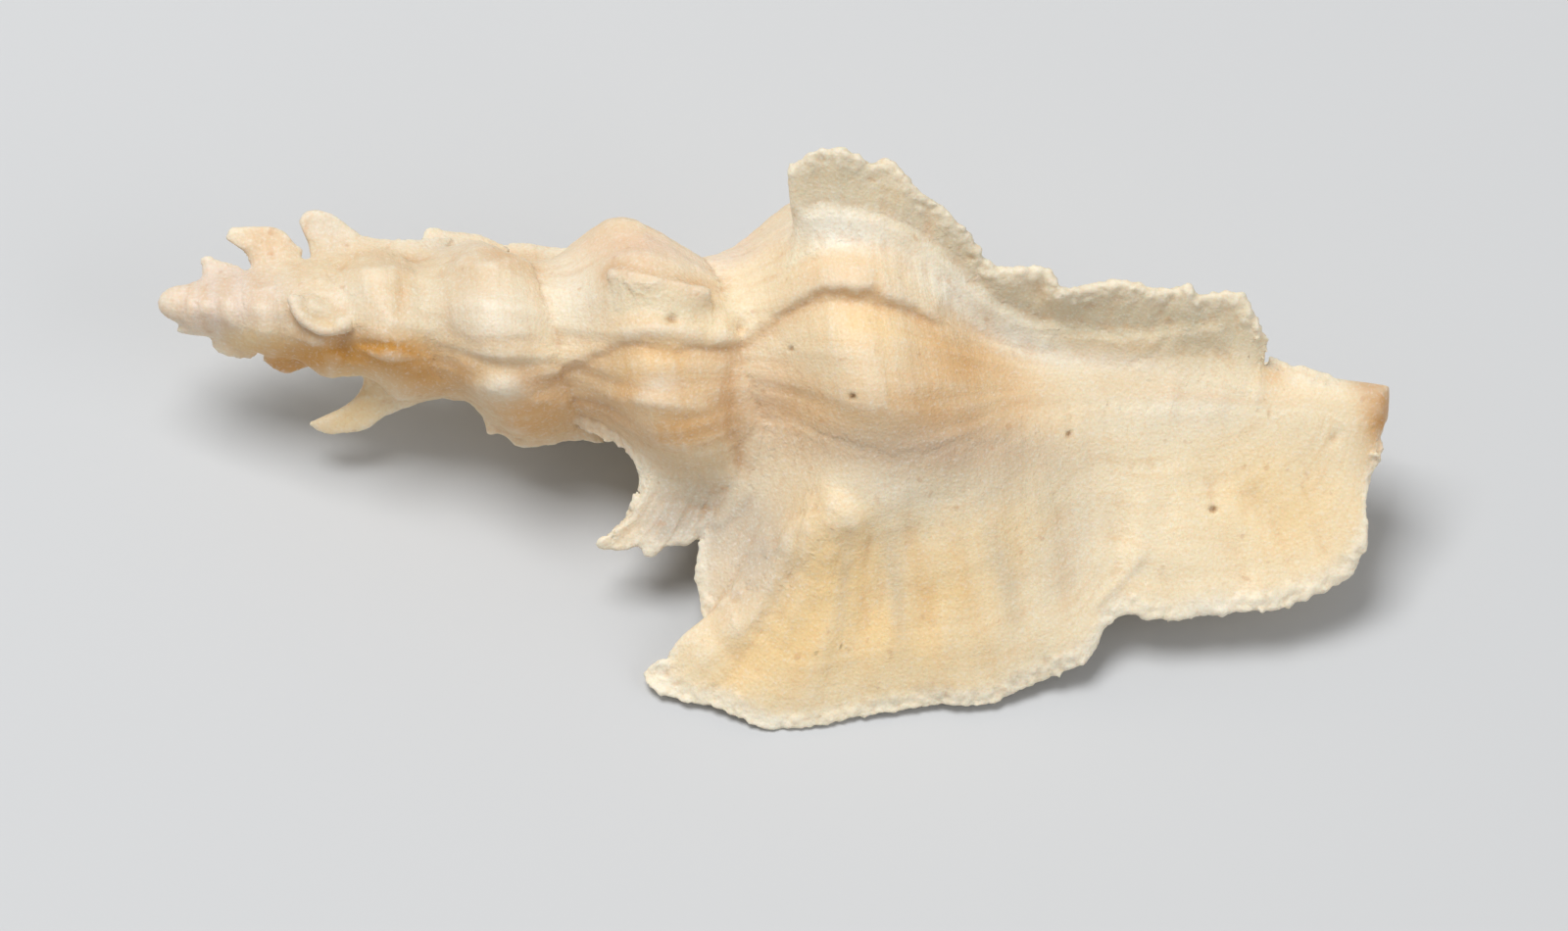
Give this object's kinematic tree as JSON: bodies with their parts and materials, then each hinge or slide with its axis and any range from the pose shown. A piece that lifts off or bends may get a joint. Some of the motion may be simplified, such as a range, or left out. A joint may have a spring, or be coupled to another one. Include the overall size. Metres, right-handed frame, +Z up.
{
  "type": "club murex shell",
  "caption": "Long slender sea snail shell with a stepped spire, hooked flanges and three thin wings along its canal, lying on two wing edges.",
  "frame": {"origin": "middle of the shell's outline seen from above, on the surface it lies on", "axes": "+X along the coiling axis from the apex to the tip of the siphonal canal, -Y towards the edge of the labral wing, +Z up, with the back of the shell turned up and the aperture turned down"},
  "size_m": [0.07, 0.0308, 0.0227],
  "materials": {
    "shell": "chalky matt with a faint sheen on the smooth whorls, cream and pale orange-tan with white swellings, a greyish thin wing and a brown canal tip"
  },
  "bodies": {
    "root": {"club_murex_shell": "shell"}
  },
  "joints": []
}
